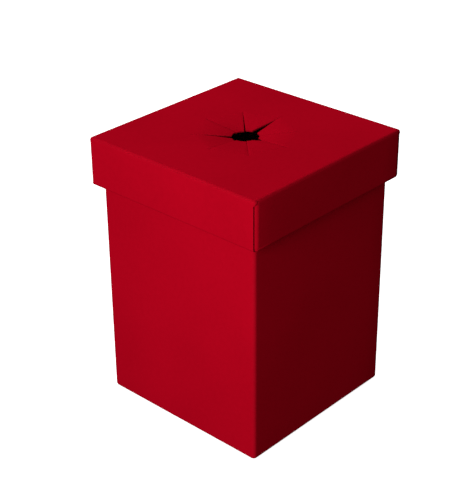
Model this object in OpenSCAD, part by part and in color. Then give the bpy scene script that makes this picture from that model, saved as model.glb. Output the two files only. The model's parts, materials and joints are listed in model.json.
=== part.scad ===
// Folded board drop box: a square base with a glued seam and folded floor,
// and a lift-off lid with rolled hems and an eight-petal star cut at its centre.
// Origin: middle of the underside. +Z is up, -Y is the front and +X is the right side.

/* [Overall] */
// Outside width of the square base
body_w = 250; // [180:5:340]
// Height from the floor to the top of the lid
total_h = 363; // [240:1:500]
// How far the lid stands out past the base on each side
lid_overhang = 10.5; // [8.5:0.5:14]
// Height of the lid's skirt
skirt_h = 64; // [40:1:90]
// Thickness of the board
board_t = 2; // [1.6:0.1:2.4]

/* [Folds] */
// Outside radius of the upright folds of base and lid
corner_r = 5; // [5:0.5:8]
// Outside radius of the folds round the lid's top and the base's floor
edge_r = 4; // [3.5:0.5:5]

/* [Star cut] */
// Reach of each slit from the middle of the lid
slit_r = 67.5; // [45:0.5:72]
// Diameter of the round hole where the slits meet
hole_d = 35; // [25:1:45]
// Width of each slit
slit_w = 0.4; // [0.4:0.1:1]

/* [Flaps] */
// Length of the lid's tuck flaps
tuck_len = 60; // [40:1:90]
// Width of the base's glue flap
glue_flap_w = 30; // [20:1:40]
// Gap between the two inner floor flaps
inner_flap_gap = 30; // [0:1:120]

/* [Hidden] */

board_red = [0.66, 0.02, 0.10];
$fn = 64;

// Turn about Z that brings a side drawn at the back to its own place
FRONT = 180;
RIGHT = 270;
BACK = 0;
LEFT = 90;

// Lid: half width, underside of its top panel, bottom of its skirt
lid_half = body_w / 2 + lid_overhang;
lid_under_z = total_h - board_t;
skirt_z = total_h - skirt_h;
// A hem rolls round three thicknesses of board
hem_r = 1.5 * board_t;
// Half length of the skirts with free ends, and of those that wrap the corners
free_half = lid_half - corner_r - 0.5;
wrap_half = lid_half - board_t - corner_r;
// The wrapping skirts' corners stop a little above the hem's lowest line
corner_lift = 1;
// Air above the inner walls and the tuck flaps
top_air = 1.5;

// Star cut: petals, their half angle and the distance of each crease from the middle
petal_count = 8;
half_angle = 180 / petal_count;
crease_d = slit_r * cos(half_angle);
crease_gap = 0.3;
// Each petal narrows beside its crease, so that neighbours pass as they bend
relief_len = 6;
relief_w = 1.2;
// Sag of each petal at rest in degrees, counted from the right-hand slit
PETAL_SAG = [6, 8, 7, 7, 6, 7, 5, 5];

// Base: half width and the reach of its upright folds
body_half = body_w / 2;
wall_half = body_half - corner_r;
// Inner floor flaps step up by one board over this length
step_len = 8;
fit_air = 0.5;

// ---- outlines in the plane across a side: first coordinate outwards, second up ----

// Quarter turn of board with outside radius r, in the first quadrant
module quarter_turn(r) {
    intersection() {
        difference() {
            circle(r);
            circle(r - board_t);
        }
        square(r);
    }
}

// Skirt with its fold into the top panel
module skirt_outline() {
    translate([lid_half - board_t, skirt_z + hem_r])
        square([board_t, skirt_h - hem_r - edge_r]);
    translate([lid_half - edge_r, total_h - edge_r])
        quarter_turn(edge_r);
}

// Rolled hem with the inner wall that it carries
module hem_outline() {
    translate([lid_half - hem_r, skirt_z + hem_r])
        for (turn = [180, 270])
            rotate(turn)
                quarter_turn(hem_r);
    translate([lid_half - 2 * hem_r, skirt_z + hem_r])
        square([board_t, skirt_h - hem_r - board_t - top_air]);
}

// Base wall with its fold into the floor
module wall_outline() {
    translate([body_half - board_t, edge_r])
        square([board_t, lid_under_z - edge_r]);
    translate([body_half - edge_r, edge_r])
        rotate(270)
            quarter_turn(edge_r);
}

// Inner floor flap, which steps up to lie on the outer ones
module inner_flap_outline() {
    start = body_half - edge_r;
    end = inner_flap_gap / 2;
    polygon([
        [start, 0],
        [start - step_len, board_t],
        [end, board_t],
        [end, 2 * board_t],
        [start - step_len, 2 * board_t],
        [start, board_t]
    ]);
}

// ---- placing ----

// Draws an outline along one side, reaching half_length to both ends
module along_side(turn, half_length) {
    rotate(turn)
        translate([-half_length, 0, 0])
            rotate([90, 0, 90])
                linear_extrude(2 * half_length)
                    children();
}

// Upright fold round a corner whose axis is at [-along, out] of the back side
module upright_fold(turn, along, out, z_low, z_high) {
    rotate(turn)
        translate([-along, out, z_low])
            linear_extrude(z_high - z_low)
                rotate(90)
                    quarter_turn(corner_r);
}

// Rounded end of an upright fold, where it meets a panel (up = 1 for the lid, -1 for the floor)
module fold_end(turn, along, out, z, up) {
    rotate(turn)
        translate([-along, out, z])
            rotate(90)
                rotate_extrude(angle = 90)
                    translate([corner_r - edge_r, 0])
                        mirror([0, up < 0 ? 1 : 0])
                            quarter_turn(edge_r);
}

// ---- lid ----

module lid_top_panel() {
    edge = lid_half - edge_r;
    color(board_red)
        translate([0, 0, lid_under_z])
            linear_extrude(board_t)
                difference() {
                    union() {
                        square([2 * (lid_half - corner_r), 2 * edge], center = true);
                        square([2 * edge, 2 * wrap_half], center = true);
                        for (x = [-1, 1], y = [-1, 1])
                            translate([x * (lid_half - corner_r), y * wrap_half])
                                circle(corner_r - edge_r);
                    }
                    circle(slit_r, $fn = petal_count);
                }
}

// Distance of a petal's cut edge from its centre line, at u from the middle of the lid
function petal_edge(u) = u * tan(half_angle) - slit_w / 2 / cos(half_angle);

module petal_outline() {
    root = crease_d - crease_gap;
    shoulder = root - relief_len;
    tip = hole_d / 4;
    root_edge = petal_edge(root) - relief_w;
    difference() {
        polygon([
            [tip, petal_edge(tip)],
            [shoulder, petal_edge(shoulder)],
            [root, root_edge],
            [root, -root_edge],
            [shoulder, -petal_edge(shoulder)],
            [tip, -petal_edge(tip)]
        ]);
        circle(hole_d / 2);
    }
}

// One petal, turned down about its crease by its sag
module lid_petal(number) {
    color(board_red)
        rotate(half_angle * (2 * number - 1))
            translate([crease_d, 0, lid_under_z])
                rotate([0, -PETAL_SAG[number - 1], 0])
                    translate([-crease_d, 0, 0])
                        linear_extrude(board_t)
                            petal_outline();
}

// Front or back skirt, which ends in a free edge beside each corner
module free_skirt(turn) {
    color(board_red)
        along_side(turn, free_half)
            skirt_outline();
}

// Side skirt, which wraps both corners and goes on into the tuck flaps
module wrapping_skirt(turn) {
    out = lid_half - corner_r;
    color(board_red) {
        along_side(turn, wrap_half)
            skirt_outline();
        for (end = [0, 1])
            mirror([0, end, 0]) {
                upright_fold(turn, wrap_half, out, skirt_z + corner_lift, total_h - edge_r);
                fold_end(turn, wrap_half, out, total_h - edge_r, 1);
            }
    }
}

module hem(turn, half_length) {
    color(board_red)
        along_side(turn, half_length)
            hem_outline();
}

// Flap behind the front or back skirt, held there by the hem
module tuck_flap(x_side, y_side) {
    low = skirt_z + hem_r;
    high = total_h - edge_r - fit_air;
    color(board_red)
        scale([x_side, y_side, 1])
            translate([lid_half - corner_r - tuck_len, lid_half - 2 * board_t, low])
                cube([tuck_len, board_t, high - low]);
}

// ---- base ----

// Base wall with the upright fold and floor corner at its end; inset sets the fold in for the glue flap
module base_wall(turn, inset = 0, free_end = 0) {
    color(board_red) {
        rotate(turn)
            translate([-wall_half + inset, 0, 0])
                rotate([90, 0, 90])
                    linear_extrude(2 * wall_half - inset - free_end)
                        wall_outline();
        upright_fold(turn, wall_half - inset, wall_half, edge_r, lid_under_z);
        fold_end(turn, wall_half - inset, wall_half, edge_r, -1);
    }
}

module base_glue_flap() {
    color(board_red)
        translate([-body_half + board_t, wall_half - glue_flap_w, 2 * edge_r])
            cube([board_t, glue_flap_w, lid_under_z - 3 * edge_r]);
}

// Outer floor flap, which lies flat and meets its opposite at the middle
module outer_floor_flap(turn) {
    half = body_half - edge_r - step_len - fit_air;
    color(board_red)
        rotate(turn)
            translate([-half, fit_air, 0])
                cube([2 * half, body_half - edge_r - fit_air, board_t]);
}

module inner_floor_flap(turn) {
    color(board_red)
        along_side(turn, wall_half - 1)
            inner_flap_outline();
}

lid_top_panel();
lid_petal(1);  // lid_petal_1
lid_petal(2);  // lid_petal_2
lid_petal(3);  // lid_petal_3
lid_petal(4);  // lid_petal_4
lid_petal(5);  // lid_petal_5
lid_petal(6);  // lid_petal_6
lid_petal(7);  // lid_petal_7
lid_petal(8);  // lid_petal_8
free_skirt(FRONT);  // lid_front_skirt
wrapping_skirt(RIGHT);  // lid_right_skirt
free_skirt(BACK);  // lid_back_skirt
wrapping_skirt(LEFT);  // lid_left_skirt
hem(FRONT, free_half);  // lid_front_hem
hem(RIGHT, wrap_half);  // lid_right_hem
hem(BACK, free_half);  // lid_back_hem
hem(LEFT, wrap_half);  // lid_left_hem
tuck_flap(-1, -1);  // lid_tuck_flap_front_left
tuck_flap(1, -1);  // lid_tuck_flap_front_right
tuck_flap(1, 1);  // lid_tuck_flap_back_right
tuck_flap(-1, 1);  // lid_tuck_flap_back_left
base_wall(FRONT);  // base_front_wall
base_wall(RIGHT);  // base_right_wall
base_wall(BACK, inset = board_t);  // base_back_wall
base_wall(LEFT, free_end = fit_air);  // base_left_wall
base_glue_flap();
outer_floor_flap(FRONT);  // base_floor_flap_front
outer_floor_flap(BACK);  // base_floor_flap_back
inner_floor_flap(LEFT);  // base_floor_flap_left
inner_floor_flap(RIGHT);  // base_floor_flap_right
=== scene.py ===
"""Looks of the red board drop box: creased panels, rounded folds, rolled hems and a springy star cut."""

import json
import math

import bmesh
import bpy
from mathutils import Matrix, Vector

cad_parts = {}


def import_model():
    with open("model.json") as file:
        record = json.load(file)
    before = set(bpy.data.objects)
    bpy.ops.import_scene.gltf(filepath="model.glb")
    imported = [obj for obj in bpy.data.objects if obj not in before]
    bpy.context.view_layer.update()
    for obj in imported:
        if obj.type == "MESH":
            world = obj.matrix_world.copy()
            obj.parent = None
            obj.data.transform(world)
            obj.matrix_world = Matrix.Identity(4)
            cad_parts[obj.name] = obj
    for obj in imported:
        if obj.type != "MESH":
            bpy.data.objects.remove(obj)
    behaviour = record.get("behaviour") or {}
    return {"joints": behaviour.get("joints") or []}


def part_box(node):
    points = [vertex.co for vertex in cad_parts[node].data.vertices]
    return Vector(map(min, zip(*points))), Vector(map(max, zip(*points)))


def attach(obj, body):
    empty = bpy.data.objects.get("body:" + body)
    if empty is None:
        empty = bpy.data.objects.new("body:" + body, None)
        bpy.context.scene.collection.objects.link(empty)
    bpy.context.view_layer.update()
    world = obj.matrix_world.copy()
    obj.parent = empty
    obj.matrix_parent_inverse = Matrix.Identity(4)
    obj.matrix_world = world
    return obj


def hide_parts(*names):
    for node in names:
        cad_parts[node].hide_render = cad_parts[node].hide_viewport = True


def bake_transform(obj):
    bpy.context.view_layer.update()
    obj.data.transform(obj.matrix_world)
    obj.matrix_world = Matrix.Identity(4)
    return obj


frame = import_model()
bpy.ops.object.select_all(action="DESELECT")
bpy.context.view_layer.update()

# ---- sizes, read from the frame ----

MM = 0.001
lid_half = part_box("lid_right_skirt")[1].x
top_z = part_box("lid_top_panel")[1].z
board = top_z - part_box("lid_top_panel")[0].z
edge_r = lid_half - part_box("lid_top_panel")[1].x
corner_r = lid_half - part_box("lid_tuck_flap_front_right")[1].x
wrap_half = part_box("lid_right_hem")[1].y
skirt_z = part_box("lid_front_hem")[0].z
inner_wall_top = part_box("lid_front_hem")[1].z
corner_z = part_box("lid_right_skirt")[0].z
hem_r = 1.5 * board
body_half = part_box("base_right_wall")[1].x
rim_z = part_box("base_front_wall")[1].z
wall_half = body_half - corner_r
# Where the hems' outer layer, and the flaps that run on from the side skirts' folds, begin
hem_top = skirt_z + hem_r + MM
flap_start = lid_half - corner_r - 0.5 * MM

# Two coordinates closer than this are the same place
TINY = 1e-6
# A piece goes this far past a fold, so that its shading runs on smoothly into the next one
LAP = 1.5 * MM
# Steps in a quarter turn of a fold, and the softening of a cut edge
FOLD_STEPS = 8
CUT_SOFTNESS = 0.3 * MM
# Edge of the flat top panel, where the skirts' folds take over
strip_edge = lid_half - edge_r - LAP
# Rows of faces across a panel, and up a wall
PANEL_ROWS = 10
WALL_ROWS = 12

# Star cut
PETALS = 8
HALF_ANGLE = math.pi / PETALS
HOLE_R = 16.8 * MM
joints = {joint["name"]: joint for joint in frame["joints"]}
crease_d = Vector(joints["petal_1_bend"]["pos_m"]).xy.length
slit_r = crease_d / math.cos(HALF_ANGLE)

# Turns about Z from the back to each side
FRONT, RIGHT, BACK, LEFT = math.pi, -math.pi / 2, 0, math.pi / 2


# ---- modelling helpers ----

def only(obj):
    """Makes obj the one selected and active object."""
    bpy.ops.object.select_all(action="DESELECT")
    obj.select_set(True)
    bpy.context.view_layer.objects.active = obj


class editing:
    """Edit mode on one object, for the length of a with block."""

    def __init__(self, obj):
        self.obj = obj

    def __enter__(self):
        only(self.obj)
        bpy.ops.object.mode_set(mode="EDIT")

    def __exit__(self, *_):
        bpy.ops.object.mode_set(mode="OBJECT")


def middle(part):
    """Middle of a bmesh vertex, edge or face."""
    if isinstance(part, bmesh.types.BMVert):
        return part.co
    return sum((v.co for v in part.verts), Vector()) / len(part.verts)


def pick(obj, kind, test):
    """Selects the VERT, EDGE or FACE parts that pass the test, and nothing else."""
    bpy.ops.mesh.select_mode(type=kind)
    bpy.ops.mesh.select_all(action="DESELECT")
    mesh = bmesh.from_edit_mesh(obj.data)
    parts = {"VERT": mesh.verts, "EDGE": mesh.edges, "FACE": mesh.faces}[kind]
    for part in parts:
        if test(part):
            part.select_set(True)
    bmesh.update_edit_mesh(obj.data)


def cut(point, normal, drop=True):
    """Cuts the mesh in edit mode with a plane, and drops what lies on the side of its normal."""
    bpy.ops.mesh.select_all(action="SELECT")
    bpy.ops.mesh.bisect(plane_co=point, plane_no=normal, clear_outer=drop, threshold=1e-7)


def cut_rows(axis, low, high, count):
    """Adds evenly spaced cuts across an axis, so that a long panel has no sliver faces."""
    normal = [float(axis == i) for i in range(3)]
    for n in range(1, count):
        place = low + (high - low) * n / count
        cut([place * c for c in normal], normal, drop=False)


def name_it(name):
    """Names the active object and its mesh."""
    obj = bpy.context.object
    obj.name = obj.data.name = name
    return obj


def settle():
    """Puts the active object's place and turn into its mesh."""
    bpy.ops.object.transform_apply(location=True, rotation=True, scale=True)


def turned(obj, angle):
    """Turns a piece about Z, from the back to its own side."""
    only(obj)
    obj.rotation_euler.z = angle
    settle()
    return obj


def block(name, low, high):
    """Box between two corners."""
    low, high = Vector(low), Vector(high)
    bpy.ops.mesh.primitive_cube_add(size=1, location=(low + high) / 2, scale=high - low)
    settle()
    return name_it(name)


def folded_box(name, low, high, rim_z, fold_r=corner_r):
    """Outside of a folded box with rounded upright folds and a rounded rim, open at its other end."""
    obj = block(name, low, high)
    with editing(obj):
        pick(obj, "EDGE", lambda e: abs(e.verts[0].co.z - e.verts[1].co.z) > MM)
        bpy.ops.mesh.bevel(offset=fold_r, segments=FOLD_STEPS, profile=0.5)
        pick(obj, "EDGE", lambda e: all(abs(v.co.z - rim_z) < TINY for v in e.verts))
        bpy.ops.mesh.bevel(offset=edge_r, segments=FOLD_STEPS, profile=0.5)
        other = high[2] if rim_z == low[2] else low[2]
        pick(obj, "FACE", lambda f: abs(middle(f).z - other) < TINY)
        bpy.ops.mesh.delete(type="FACE")
    return obj


def thicken(obj):
    """Gives a sheet its board thickness behind its face; back and cut edges get their own material."""
    only(obj)
    modifier = obj.modifiers.new("board", "SOLIDIFY")
    modifier.thickness = board
    modifier.offset = -1
    modifier.use_even_offset = True
    modifier.material_offset = 1
    modifier.material_offset_rim = 2
    for material in (board_face, board_back, board_edge):
        obj.data.materials.append(material)
    bpy.ops.object.modifier_apply(modifier=modifier.name)


def soften(obj, is_cut):
    """Rounds the sharp edges of real cuts a little."""
    def sharp_cut(edge):
        return len(edge.link_faces) == 2 and edge.calc_face_angle() > 1 and is_cut(middle(edge))
    with editing(obj):
        pick(obj, "EDGE", sharp_cut)
        bpy.ops.mesh.bevel(offset=CUT_SOFTNESS, segments=2, profile=0.5)


def finish_piece(obj, node, body, is_cut=None):
    """Thickness, softened cuts, smooth shading and its place in the frame."""
    thicken(obj)
    if is_cut:
        soften(obj, is_cut)
    only(obj)
    bpy.ops.object.shade_smooth_by_angle(angle=math.radians(40))
    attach(obj, body)
    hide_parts(node)
    return obj


# ---- materials ----

class Shade:
    """A socket in a node tree, so that shader maths reads as Python."""

    def __init__(self, tree, socket):
        self.tree = tree
        self.socket = socket

    def math(self, operation, *others):
        return self.tree.add("ShaderNodeMath", {"operation": operation}, self, *others)

    def __add__(self, other):
        return self.math("ADD", other)

    __radd__ = __add__

    def __rsub__(self, other):
        return self.tree.add("ShaderNodeMath", {"operation": "SUBTRACT"}, other, self)

    def __mul__(self, other):
        return self.math("MULTIPLY", other)

    __rmul__ = __mul__

    def size(self):
        return self.math("ABSOLUTE")

    def least(self, other):
        return self.math("MINIMUM", other)

    def most(self, other):
        return self.math("MAXIMUM", other)

    def ramp(self, start, end):
        """0 below start, 1 above end, and smooth between them."""
        return self.tree.add("ShaderNodeMapRange", {"interpolation_type": "SMOOTHSTEP"}, self, start, end)


class Tree:
    """A material's nodes, added one call at a time."""

    def __init__(self, name):
        self.material = bpy.data.materials.new(name)
        self.material.use_nodes = True
        self.nodes = self.material.node_tree.nodes
        self.links = self.material.node_tree.links
        self.surface = self.nodes["Principled BSDF"]

    def add(self, kind, settings, *inputs, output=0):
        """Adds a node: its settings, then its sockets' values or links in order (None leaves one alone)."""
        node = self.nodes.new(kind)
        for key, value in settings.items():
            setattr(node, key, value)
        for socket, value in zip([s for s in node.inputs if s.enabled], inputs):
            self.feed(socket, value)
        return Shade(self, [s for s in node.outputs if s.enabled][output])

    def feed(self, socket, value):
        if isinstance(value, Shade):
            self.links.new(value.socket, socket)
        elif value is not None:
            socket.default_value = value

    def place(self):
        return self.add("ShaderNodeTexCoord", {}, output=3)

    def noise(self, place, scale, detail=3.0, roughness=0.5):
        return self.add("ShaderNodeTexNoise", {}, place, scale, detail, roughness)

    def stretched(self, place, scale):
        return self.add("ShaderNodeMapping", {}, place, None, None, scale)

    def mix(self, factor, first, second):
        """Mixes two colours."""
        node = self.nodes.new("ShaderNodeMix")
        node.data_type = "RGBA"
        self.feed(node.inputs[0], factor)
        self.feed(node.inputs[6], first)
        self.feed(node.inputs[7], second)
        return Shade(self, node.outputs[2])

    def bump(self, height, strength, distance):
        return self.add("ShaderNodeBump", {}, strength, distance, None, height)


DYE = (0.43, 0.0012, 0.0112, 1)
DEEP_DYE = (0.38, 0.0009, 0.0095, 1)
# Pale red painted along the folds: a painted highlight where they turn to the light, and scuffed film in
# flecks
FOLD_SHEEN_AND_SCUFF = (0.50, 0.012, 0.026, 1)
CORE = (0.26, 0.001, 0.008, 1)
CORE_PALE = (0.36, 0.004, 0.014, 1)


def fold_mask(tree, place):
    """1 on the rounded folds of lid and base, and 0 on the flat panels: the folds are painted paler, partly
    a painted highlight and partly scuffing.
    """
    parts = tree.nodes.new("ShaderNodeSeparateXYZ")
    tree.feed(parts.inputs[0], place)
    x, y, z = (Shade(tree, parts.outputs[n]) for n in range(3))
    near = x.size().least(y.size())
    far = x.size().most(y.size())
    on_lid = z.ramp(skirt_z - MM, skirt_z)
    upright = near.ramp(wall_half, body_half - 0.3 * corner_r) * (1 - on_lid)
    upright = upright + near.ramp(lid_half - corner_r, lid_half - 0.3 * corner_r) * on_lid
    rim = z.ramp(top_z - edge_r, top_z - 0.3 * edge_r) * far.ramp(lid_half - edge_r, lid_half - 0.3 * edge_r)
    floor = 1 - z.ramp(0.3 * edge_r, edge_r)
    return upright.most(rim).most(floor)


def board_material(name, face):
    """Red board: the face is a smooth matt film, and the back is bare dyed board."""
    tree = Tree(name)
    place = tree.place()
    cloudy = tree.noise(place, 7.0, 2.0)
    mottle = tree.noise(place, 160.0, 4.0, 0.6)
    fibre = tree.noise(tree.stretched(place, (1.0, 1.0, 0.28)), 1100.0, 3.0, 0.6)
    colour = tree.mix((cloudy.ramp(0.3, 0.7) * 0.55 + mottle.ramp(0.35, 0.65) * 0.3), DYE, DEEP_DYE)
    if face:
        folds = fold_mask(tree, place)
        scuffs = tree.noise(place, 420.0, 5.0, 0.7).ramp(0.42, 0.66)
        # Paler along every fold: a painted highlight standing in for the light on the rounded folds, plus
        # real scuffs in noisy flecks
        painted_highlight_and_wear = folds * (0.03 + scuffs * 0.12)
        colour = tree.mix(painted_highlight_and_wear, colour, FOLD_SHEEN_AND_SCUFF)
        gloss = 0.44 + mottle * 0.07 + painted_highlight_and_wear * 0.12
        normal = tree.bump(mottle * 0.5 + fibre * 0.3, 0.16, 0.00012)
    else:
        flecks = tree.noise(tree.stretched(place, (1.0, 1.0, 0.4)), 700.0, 4.0, 0.7)
        colour = tree.mix(flecks.ramp(0.45, 0.75) * 0.35, colour, CORE_PALE)
        gloss = 0.76 + mottle * 0.1
        normal = tree.bump(fibre, 0.35, 0.0002)
    finish_surface(tree, colour, gloss, normal)
    return tree.material


def finish_surface(tree, colour, gloss, normal):
    """Joins a finish to the shader: the board is matt, so no white reflection dulls its red."""
    surface = tree.surface
    tree.feed(surface.inputs["Base Color"], colour)
    tree.feed(surface.inputs["Roughness"], gloss)
    tree.feed(surface.inputs["Normal"], normal)
    surface.inputs["Specular IOR Level"].default_value = 0


def edge_material(name):
    """Cut edge of the board: dyed through, and a little darker and rougher than the face."""
    tree = Tree(name)
    place = tree.place()
    grain = tree.noise(place, 900.0, 4.0, 0.65)
    colour = tree.mix(grain.ramp(0.35, 0.7), CORE, CORE_PALE)
    normal = tree.bump(grain, 0.4, 0.0002)
    finish_surface(tree, colour, 0.8 + grain * 0.1, normal)
    return tree.material


board_face = board_material("red_board_face", True)
board_back = board_material("red_board_back", False)
board_edge = edge_material("red_board_cut_edge")


# ---- lid ----

def outward_of(angle):
    """Level direction at an angle round the middle of the lid."""
    return Vector((math.cos(angle), math.sin(angle), 0))


def inside_star(point):
    """Whether a point lies within the eight-sided opening."""
    return all(point.dot(outward_of(HALF_ANGLE * (2 * n + 1))) < crease_d for n in range(PETALS))


def lid_top():
    """Square top panel with the eight-sided opening that the petals grow from."""
    bpy.ops.mesh.primitive_plane_add(size=2 * strip_edge, location=(0, 0, top_z))
    settle()
    obj = name_it("lid_top_board")
    with editing(obj):
        for axis in (0, 1):
            cut_rows(axis, -strip_edge, strip_edge, PANEL_ROWS)
        for n in range(PETALS):
            outward = outward_of(HALF_ANGLE * (2 * n + 1))
            cut(outward * crease_d, outward, drop=False)
        pick(obj, "FACE", lambda f: inside_star(middle(f)))
        bpy.ops.mesh.delete(type="FACE")
    return finish_piece(obj, "lid_top_panel", "lid")


# The skirts that wrap the corners bend a little more gently than the other folds
WRAP_R = 6 * MM


def side_skirt(name, node, side):
    """Skirt that wraps both corners, with upright folds that run on behind the front and back skirts."""
    low = (-lid_half, -lid_half + board, corner_z)
    high = (lid_half, lid_half - board, top_z)
    obj = folded_box(name, low, high, top_z, WRAP_R)
    with editing(obj):
        cut((side * flap_start, 0, 0), (-side, 0, 0))
        cut_rows(1, -wrap_half, wrap_half, PANEL_ROWS)
        cut((0, 0, hem_top), (0, 0, 1), drop=False)
        pick(obj, "FACE", lambda f: middle(f).z < hem_top and abs(middle(f).y) < wrap_half)
        bpy.ops.mesh.delete(type="FACE")
    return finish_piece(obj, node, "lid", lambda p: p.z < hem_top - 0.1 * MM)


# A free skirt's ears carry its fold round the corners: how deep an ear is at the free edge, and the
# slope of its lower edge
EAR_DEPTH = 7 * MM
EAR_SLOPE = 0.65
# The end of an ear is pressed in by this much, so that it closes on the corner behind it
EAR_TUCK = 0.7 * MM
# Radius of the ear's fold
EAR_R = 4.2 * MM
# The visible free edge, set in from the corner
free_end = lid_half - 2.5 * MM


def above_ear(point):
    """How far a point lies above the line of the ears' lower edge."""
    run = abs(point.x) - free_end + lid_half - abs(point.y)
    return point.z - (top_z - EAR_DEPTH) - EAR_SLOPE * run


def free_skirt(name, node, side):
    """Front or back skirt: its ends are free, with small ears that carry the fold round the corners."""
    obj = folded_box(name, (-lid_half, -lid_half, hem_top), (lid_half, lid_half, top_z), top_z, EAR_R)
    with editing(obj):
        cut((0, side * strip_edge, 0), (0, -side, 0))
        for end in (-1, 1):
            cut((end * free_end, 0, 0), (1, 0, 0), drop=False)
            slope = Vector((-end * EAR_SLOPE, side * EAR_SLOPE, 1)).normalized()
            cut((end * free_end, side * lid_half, top_z - EAR_DEPTH), slope, drop=False)
        pick(obj, "FACE", lambda f: abs(middle(f).x) > free_end and above_ear(middle(f)) < 0)
        bpy.ops.mesh.delete(type="FACE")
        cut_rows(0, -free_end, free_end, PANEL_ROWS)
        for end in (-1, 1):
            at_side = lambda v: v.co.x * end > lid_half - TINY
            pick(obj, "VERT", lambda v: at_side(v) and abs(v.co.y) < strip_edge + TINY)
            bpy.ops.transform.translate(value=(-end * EAR_TUCK, 0, 0))
    below_ear = lambda p: above_ear(p) < 0.2 * MM or p.z < top_z - EAR_DEPTH
    return finish_piece(obj, node, "lid", lambda p: abs(p.x) > free_end - 0.1 * MM and below_ear(p))


def hem(name, node, turn, half_length):
    """Board rolled round the bottom edge of a skirt, with the inner wall that it carries."""
    inner_y = lid_half - 2 * hem_r
    roll_z = skirt_z + hem_r
    height = inner_wall_top - roll_z
    bpy.ops.mesh.primitive_plane_add(size=1, rotation=(math.pi / 2, 0, 0),
                                     location=(0, inner_y, roll_z + height / 2))
    bpy.context.object.scale = (2 * half_length, height, 1)
    settle()
    obj = name_it(name)
    with editing(obj):
        cut_rows(0, -half_length, half_length, PANEL_ROWS)
        pick(obj, "EDGE", lambda e: middle(e).z < roll_z + TINY)
        bpy.ops.mesh.spin(steps=2 * FOLD_STEPS, angle=math.pi, axis=(-1, 0, 0),
                          center=(0, lid_half - hem_r, roll_z))
        pick(obj, "EDGE", lambda e: middle(e).y > lid_half - TINY and middle(e).z < roll_z + TINY)
        bpy.ops.mesh.extrude_region_move(TRANSFORM_OT_translate={"value": (0, 0, MM)})
        face_outwards(obj)
    turned(obj, turn)
    end = half_length - 0.1 * MM
    along = 0 if turn in (FRONT, BACK) else 1
    is_cut = lambda p: abs(p[along]) > end or p.z > inner_wall_top - 0.1 * MM
    return finish_piece(obj, node, "lid", is_cut)


def face_outwards(obj):
    """Makes a sheet's faces agree, and turns them so that the one furthest back faces the back."""
    bpy.ops.mesh.select_all(action="SELECT")
    bpy.ops.mesh.remove_doubles(threshold=TINY)
    bpy.ops.mesh.normals_make_consistent(inside=False)
    mesh = bmesh.from_edit_mesh(obj.data)
    furthest = max(mesh.faces, key=lambda f: middle(f).y)
    if furthest.normal.y < 0:
        bpy.ops.mesh.flip_normals()


# How far the hidden flaps' corners are trimmed
FLAP_TRIM = 6 * MM


def tuck_flap(name, node, x_side, y_side):
    """Flap that runs on from a corner fold and lies hidden in the hem, with its far corners trimmed."""
    low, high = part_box(node)
    face_y = max(abs(low.y), abs(high.y))
    far = min(abs(low.x), abs(high.x))
    height = high.z - low.z
    bpy.ops.mesh.primitive_plane_add(size=1, rotation=(math.pi / 2, 0, math.pi),
                                     location=((far + flap_start) / 2, face_y, low.z + height / 2))
    bpy.context.object.scale = (flap_start - far, height, 1)
    settle()
    obj = name_it(name)
    with editing(obj):
        for z, slope in ((low.z, -1), (high.z, 1)):
            cut((far + FLAP_TRIM, 0, z), Vector((-1, 0, 0.5 * slope)).normalized())
        face_outwards(obj)
    turned(obj, BACK if y_side > 0 else FRONT)
    if x_side != y_side:
        mirror_x(obj)
    return finish_piece(obj, node, "lid")


def mirror_x(obj):
    """Turns a piece for one side into the piece for the other."""
    only(obj)
    bpy.ops.transform.mirror(constraint_axis=(True, False, False))
    settle()
    with editing(obj):
        bpy.ops.mesh.select_all(action="SELECT")
        bpy.ops.mesh.flip_normals()


# ---- star cut ----

# A crease bends over this length of board, in this many steps
BEND_LENGTH = 16 * MM
BEND_STEPS = 12
# How fast the bend fades from step to step
BEND_FADE = 0.25
# Share of its joint's sag that each petal shows at rest
SAG_SHARES = (0.95, 0.8, 0.8, 0.95, 0.95, 1.15, 1.15, 0.95)
# How far out each slit stands open, and its width at the hole, in millimetres, from the right-hand
# slit round; below zero the petals' edges touch
SLITS = [(27, 9.5), (30, -0.1), (57, 8.2), (67, 1.6), (24, 0), (51, 5.0), (40, 0.5), (40, 0.25)]
# Half the width of every slit at its root
ROOT_GAP = 0.02 * MM
# Strips across each petal at the hole, and how far past the petal's outline the fan is drawn before trimming
PETAL_STRIPS = 8
FAN_REACH = 1.05
FAN_SPREAD = 1.03


def petal_sheet(name):
    """Flat petal along +X: a fan of strips from the hole's edge to the crease."""
    bpy.ops.mesh.primitive_circle_add(vertices=PETALS * PETAL_STRIPS, radius=HOLE_R, location=(0, 0, top_z))
    settle()
    obj = name_it(name)
    reach = math.sin(HALF_ANGLE) * HOLE_R + TINY
    grow = FAN_REACH * slit_r / HOLE_R
    with editing(obj):
        pick(obj, "VERT", lambda v: v.co.x < 0 or abs(v.co.y) > reach)
        bpy.ops.mesh.delete(type="VERT")
        bpy.ops.mesh.select_all(action="SELECT")
        bpy.ops.mesh.extrude_region_move()
        bpy.ops.transform.resize(value=(grow, grow, 1), center_override=(0, 0, top_z))
        bpy.ops.transform.resize(value=(1, FAN_SPREAD, 1), center_override=(0, 0, top_z))
        cut((crease_d, 0, 0), (1, 0, 0))
        bpy.ops.mesh.select_all(action="SELECT")
        bpy.ops.mesh.normals_make_consistent(inside=False)
        if bmesh.from_edit_mesh(obj.data).faces[:][0].normal.z < 0:
            bpy.ops.mesh.flip_normals()
    return obj


def trim_slit(side, open_to, gap):
    """Trims one long edge of a petal: a hair off its whole length, and then the part that stands open."""
    radial = Vector((math.cos(HALF_ANGLE), side * math.sin(HALF_ANGLE), 0))
    outward = Vector((-math.sin(HALF_ANGLE), side * math.cos(HALF_ANGLE), 0))
    for reach in (slit_r, open_to * MM):
        root = radial * reach - outward * ROOT_GAP
        tip = radial * HOLE_R - outward * (gap * MM / 2 if reach < slit_r else ROOT_GAP)
        along = (tip - root).normalized()
        normal = Vector((-along.y, along.x, 0))
        if normal.dot(outward) < 0:
            normal = -normal
        cut(root, normal)


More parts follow.
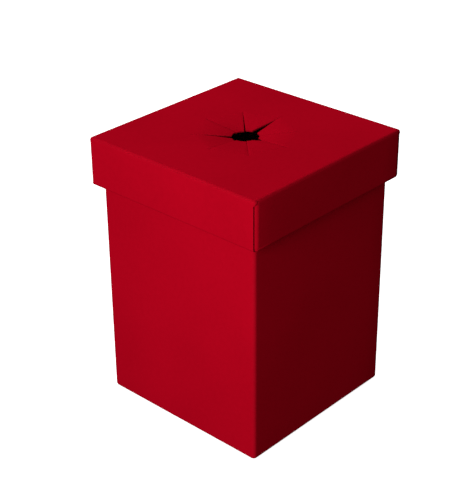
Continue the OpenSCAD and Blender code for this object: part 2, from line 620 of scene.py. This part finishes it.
def petal(number):
    """One petal of the star cut: a wedge of board that curls down from its crease and then runs straight."""
    sag = -math.radians(joints[f"petal_{number}_bend"]["range_deg"][0])
    obj = petal_sheet(f"lid_petal_board_{number}")
    with editing(obj):
        trim_slit(-1, *SLITS[number - 1])
        trim_slit(1, *SLITS[number % PETALS])
        rows = [crease_d - BEND_LENGTH * (n + 0.5) / BEND_STEPS for n in range(BEND_STEPS)]
        for row in rows:
            cut((row, 0, 0), (1, 0, 0), drop=False)
        for n, row in enumerate(reversed(rows)):
            pick(obj, "VERT", lambda v: v.co.x < row - TINY)
            share = bend_share(len(rows) - 1 - n) * SAG_SHARES[number - 1]
            bpy.ops.transform.rotate(value=sag * share, orient_axis="Y",
                                     center_override=(row, 0, top_z))
    angle = HALF_ANGLE * (2 * number - 1)
    turned(obj, angle)
    thicken(obj)
    soften(obj, lambda p: p.dot(outward_of(angle)) < crease_d - 0.5 * MM)
    only(obj)
    bpy.ops.object.shade_smooth_by_angle(angle=math.radians(40))
    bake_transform(obj)
    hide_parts(f"lid_petal_{number}")


def bend_share(n):
    """Share of the whole bend at the nth row from the crease: it rises quickly and fades out."""
    turn = math.pi / (BEND_STEPS + 1)
    weights = [math.sin(turn * (k + 1)) ** 2 / (1 + BEND_FADE * k) for k in range(BEND_STEPS)]
    return weights[n] / sum(weights)


# ---- base ----

def base_shell(name, low_x=None):
    """Outside of the whole base, open at the rim: each wall is cut from it."""
    low = (-body_half if low_x is None else low_x, -body_half, 0)
    return folded_box(name, low, (body_half, body_half, rim_z), 0)


def base_wall(name, node, cuts, rows, low_x=None):
    """One wall with its upright fold and its floor fold: the cuts are (axis, place, side dropped)."""
    obj = base_shell(name, low_x)
    with editing(obj):
        for axis, place, side in cuts:
            cut([place * (i == axis) for i in range(3)], [side * (i == axis) for i in range(3)])
        cut_rows(rows, -wall_half + LAP, wall_half - LAP, PANEL_ROWS)
        cut_rows(2, edge_r, rim_z, WALL_ROWS)
    return finish_piece(obj, node, "base", lambda p: p.z > rim_z - 0.1 * MM or free_edge(p))


def free_edge(point):
    """Whether a point lies on the left wall's free edge beside the glued corner."""
    return point.x < -wall_half and abs(point.y - left_wall_end) < 0.1 * MM


left_wall_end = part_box("base_left_wall")[1].y
seam = wall_half - LAP


def base_walls():
    base_wall("base_front_board", "base_front_wall", [(1, -seam, 1), (0, -seam, -1)], 0)
    base_wall("base_right_board", "base_right_wall", [(0, seam, -1), (1, -seam, -1)], 1)
    base_wall("base_back_board", "base_back_wall", [(1, seam, -1), (0, seam, 1)], 0,
              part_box("base_back_wall")[0].x)
    base_wall("base_left_board", "base_left_wall", [(0, -seam, 1), (1, left_wall_end, 1)], 1)


# The glue flap's ends are cut back by this much, at this slope
GLUE_TRIM = 12 * MM
GLUE_SLOPE = 2.2


def glue_flap():
    """Flap glued behind the left wall, narrowed towards its ends."""
    low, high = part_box("base_glue_flap")
    height = high.z - low.z
    bpy.ops.mesh.primitive_plane_add(size=1, rotation=(math.pi / 2, 0, -math.pi / 2),
                                     location=(low.x, (low.y + seam) / 2, low.z + height / 2))
    bpy.context.object.scale = (seam - low.y, height, 1)
    settle()
    obj = name_it("base_glue_board")
    with editing(obj):
        for z, slope in ((low.z, -1), (high.z, 1)):
            cut((0, low.y, z - GLUE_TRIM * slope), Vector((0, -1, GLUE_SLOPE * slope)).normalized())
    return finish_piece(obj, "base_glue_flap", "base", lambda p: p.y < seam - 0.1 * MM)


# The outer floor flaps are set in by this much at their free edge, and slope out from there
FLOOR_TRIM = 5 * MM
FLOOR_SLOPE = 0.06


def outer_floor_flap(name, node, side):
    """Flat floor flap, which meets its opposite at the middle."""
    low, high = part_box(node)
    inner = min(abs(low.y), abs(high.y))
    depth = seam - inner
    centre = (0, side * (inner + depth / 2), 0)
    bpy.ops.mesh.primitive_plane_add(size=1, rotation=(math.pi, 0, 0), location=centre)
    bpy.context.object.scale = (high.x - low.x, depth, 1)
    settle()
    obj = name_it(name)
    with editing(obj):
        for end in (-1, 1):
            slope = Vector((end, -side * FLOOR_SLOPE, 0)).normalized()
            cut((end * (high.x - FLOOR_TRIM), side * inner, 0), slope)
    return finish_piece(obj, node, "base", lambda p: abs(p.y) < seam - 0.1 * MM)


# An inner floor flap steps up over this length, in this many steps
STEP_LENGTH = 5.8 * MM
FLAP_STEPS = 6


def inner_floor_flap(name, node, side):
    """Floor flap that steps up from its fold to lie on the two outer ones."""
    low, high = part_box(node)
    inner = min(abs(low.x), abs(high.x))
    depth = seam - inner
    centre = (side * (inner + depth / 2), 0, 0)
    bpy.ops.mesh.primitive_plane_add(size=1, rotation=(math.pi, 0, 0), location=centre)
    bpy.context.object.scale = (depth, high.y - low.y, 1)
    settle()
    obj = name_it(name)
    with editing(obj):
        for n in range(FLAP_STEPS + 1):
            cut((side * (seam - STEP_LENGTH * n / FLAP_STEPS), 0, 0), (1, 0, 0), drop=False)
        for n in range(FLAP_STEPS + 1):
            share = n / FLAP_STEPS
            place = seam - STEP_LENGTH * share
            rise = board * (3 * share ** 2 - 2 * share ** 3)
            pick(obj, "VERT", lambda v: abs(v.co.x * side - place) < TINY)
            bpy.ops.transform.translate(value=(0, 0, rise))
        pick(obj, "VERT", lambda v: v.co.x * side < seam - STEP_LENGTH - TINY)
        bpy.ops.transform.translate(value=(0, 0, board))
    return finish_piece(obj, node, "base", lambda p: abs(p.x) < seam - 0.1 * MM)


def build():
    """Makes every piece of the lid and the base."""
    lid_top()
    side_skirt("lid_right_board", "lid_right_skirt", 1)
    side_skirt("lid_left_board", "lid_left_skirt", -1)
    free_skirt("lid_front_board", "lid_front_skirt", -1)
    free_skirt("lid_back_board", "lid_back_skirt", 1)
    hem("lid_front_roll", "lid_front_hem", FRONT, free_end)
    hem("lid_back_roll", "lid_back_hem", BACK, free_end)
    hem("lid_right_roll", "lid_right_hem", RIGHT, wrap_half)
    hem("lid_left_roll", "lid_left_hem", LEFT, wrap_half)
    for y_side, y_name in ((-1, "front"), (1, "back")):
        for x_side, x_name in ((-1, "left"), (1, "right")):
            place = f"{y_name}_{x_name}"
            tuck_flap(f"lid_tuck_board_{place}", f"lid_tuck_flap_{place}", x_side, y_side)
    for number in range(1, PETALS + 1):
        petal(number)
    base_walls()
    glue_flap()
    outer_floor_flap("base_floor_board_front", "base_floor_flap_front", -1)
    outer_floor_flap("base_floor_board_back", "base_floor_flap_back", 1)
    inner_floor_flap("base_floor_board_left", "base_floor_flap_left", -1)
    inner_floor_flap("base_floor_board_right", "base_floor_flap_right", 1)


build()


# ---- floor, light and camera ----

def floor():
    """Pale floor, wide enough to fill every view from above."""
    just_below = (0, 0, -0.2 * MM)
    bpy.ops.mesh.primitive_circle_add(vertices=96, radius=30, fill_type="NGON", location=just_below)
    settle()
    obj = name_it("studio_floor")
    tree = Tree("pale_floor")
    surface = tree.surface
    surface.inputs["Base Color"].default_value = (0.86, 0.86, 0.86, 1)
    surface.inputs["Roughness"].default_value = 0.9
    surface.inputs["Specular IOR Level"].default_value = 0.1
    surface.inputs["Emission Color"].default_value = (1, 1, 1, 1)
    surface.inputs["Emission Strength"].default_value = 0.8
    obj.data.materials.append(tree.material)
    obj.visible_diffuse = False
    obj.visible_glossy = False


def aim(obj, target):
    """Points a lamp at a place."""
    obj.rotation_euler = (Vector(target) - obj.location).to_track_quat("-Z", "Y").to_euler()


def soft_light(name, place, target, size, power):
    """Round soft lamp that the camera doesn't see."""
    bpy.ops.object.light_add(type="AREA", location=place)
    lamp = bpy.context.object
    lamp.name = name
    lamp.data.shape = "DISK"
    lamp.data.size = size
    lamp.data.energy = power
    lamp.visible_camera = False
    aim(lamp, target)


def world(strength):
    """Even white light from all round."""
    sky = bpy.data.worlds.new("studio")
    sky.use_nodes = True
    background = sky.node_tree.nodes["Background"]
    background.inputs["Color"].default_value = (1, 1, 1, 1)
    background.inputs["Strength"].default_value = strength
    bpy.context.scene.world = sky


def camera():
    """Camera at three quarters, a little above the lid."""
    azimuth = math.radians(43.115)
    elevation = math.radians(28.081)
    roll = math.radians(-0.669)
    bpy.ops.object.camera_add(location=(0.9889, -1.0954, 1.0008))
    eye = bpy.context.object
    eye.data.lens = 97.92
    eye.data.sensor_width = 36
    back = Vector((math.sin(azimuth) * math.cos(elevation), -math.cos(azimuth) * math.cos(elevation),
                   math.sin(elevation)))
    right = Vector((math.cos(azimuth), math.sin(azimuth), 0))
    up = back.cross(right)
    tilted_right = right * math.cos(roll) + up * math.sin(roll)
    tilted_up = up * math.cos(roll) - right * math.sin(roll)
    eye.rotation_euler = Matrix((tilted_right, tilted_up, back)).transposed().to_euler()
    eye.data.clip_end = 100
    bpy.context.scene.camera = eye


floor()
world(0.12)
middle_of_box = (0, 0, 0.5 * top_z)
soft_light("high_left", (-2.7, 1.7, 2.9), middle_of_box, 0.6, 130)
soft_light("front", (0.33, -1.42, 0.7), middle_of_box, 0.8, 21.2)
camera()
bpy.context.scene.view_settings.view_transform = "Standard"
